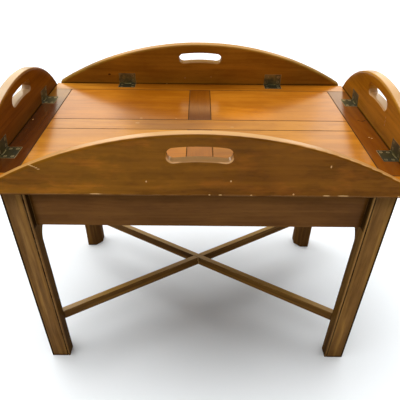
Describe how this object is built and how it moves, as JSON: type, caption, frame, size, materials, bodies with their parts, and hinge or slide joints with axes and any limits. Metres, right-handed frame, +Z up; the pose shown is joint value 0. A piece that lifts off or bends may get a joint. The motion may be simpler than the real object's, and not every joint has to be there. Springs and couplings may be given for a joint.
{
  "type": "butler table",
  "caption": "Wooden butler table: a framed lift-off tray with arched hinged flaps and hand holes, on a square-legged stand with crossed stretchers.",
  "frame": {"origin": "on the floor, under the middle of the table", "axes": "+X along the length to the right, +Y to the back, +Z up; all flaps up, leaning 6 degrees in over the tray"},
  "size_m": [0.693, 0.465, 0.5424],
  "materials": {
    "tray_wood": "glossy honey-coloured polish",
    "flap_wood": "worn satin polish",
    "stand_wood": "satin polish",
    "antique_brass": "darkened, edges rubbed bright",
    "brass_screw": "dull, slots dark",
    "steel_screw": "dull"
  },
  "bodies": {
    "stand": {"front_left_leg": "stand_wood", "front_right_leg": "stand_wood", "back_left_leg": "stand_wood", "back_right_leg": "stand_wood", "front_apron": "stand_wood", "back_apron": "stand_wood", "left_apron": "stand_wood", "right_apron": "stand_wood", "rising_stretcher": "stand_wood", "falling_stretcher": "stand_wood"},
    "tray": {"tray_front_rail": "tray_wood", "tray_back_rail": "tray_wood", "tray_left_stile": "tray_wood", "tray_right_stile": "tray_wood", "tray_centre_rail": "tray_wood", "tray_front_centre_stile": "tray_wood", "tray_back_centre_stile": "tray_wood", "tray_front_left_panel": "tray_wood", "tray_front_right_panel": "tray_wood", "tray_back_left_panel": "tray_wood", "tray_back_right_panel": "tray_wood", "left_batten": "tray_wood", "right_batten": "tray_wood", "front_hinge_1_tray_leaf": "antique_brass", "front_hinge_2_tray_leaf": "antique_brass", "back_hinge_1_tray_leaf": "antique_brass", "back_hinge_2_tray_leaf": "antique_brass", "left_hinge_1_tray_leaf": "antique_brass", "left_hinge_2_tray_leaf": "antique_brass", "right_hinge_1_tray_leaf": "antique_brass", "right_hinge_2_tray_leaf": "antique_brass", "hinge_pins": "antique_brass", "tray_leaf_screws": "brass_screw", "batten_screws": "steel_screw"},
    "front_flap": {"front_flap": "flap_wood", "front_hinge_1_flap_leaf": "antique_brass", "front_hinge_2_flap_leaf": "antique_brass", "front_flap_screws": "brass_screw"},
    "back_flap": {"back_flap": "flap_wood", "back_hinge_1_flap_leaf": "antique_brass", "back_hinge_2_flap_leaf": "antique_brass", "back_flap_screws": "brass_screw"},
    "left_flap": {"left_flap": "flap_wood", "left_hinge_1_flap_leaf": "antique_brass", "left_hinge_2_flap_leaf": "antique_brass", "left_flap_screws": "brass_screw"},
    "right_flap": {"right_flap": "flap_wood", "right_hinge_1_flap_leaf": "antique_brass", "right_hinge_2_flap_leaf": "antique_brass", "right_flap_screws": "brass_screw"}
  },
  "joints": [
    {"name": "tray_lift", "type": "slide", "parent": "stand", "child": "tray", "axis": [0, 0, 1], "range_m": [0, 0.06]},
    {"name": "front_flap_fold", "type": "hinge", "parent": "tray", "child": "front_flap", "pos_m": [0, -0.2155, 0.449], "axis": [1, 0, 0], "range_deg": [0, 96]},
    {"name": "back_flap_fold", "type": "hinge", "parent": "tray", "child": "back_flap", "pos_m": [0, 0.2155, 0.449], "axis": [-1, 0, 0], "range_deg": [0, 96]},
    {"name": "left_flap_fold", "type": "hinge", "parent": "tray", "child": "left_flap", "pos_m": [-0.3295, 0, 0.449], "axis": [0, -1, 0], "range_deg": [0, 96]},
    {"name": "right_flap_fold", "type": "hinge", "parent": "tray", "child": "right_flap", "pos_m": [0.3295, 0, 0.449], "axis": [0, 1, 0], "range_deg": [0, 96]}
  ]
}
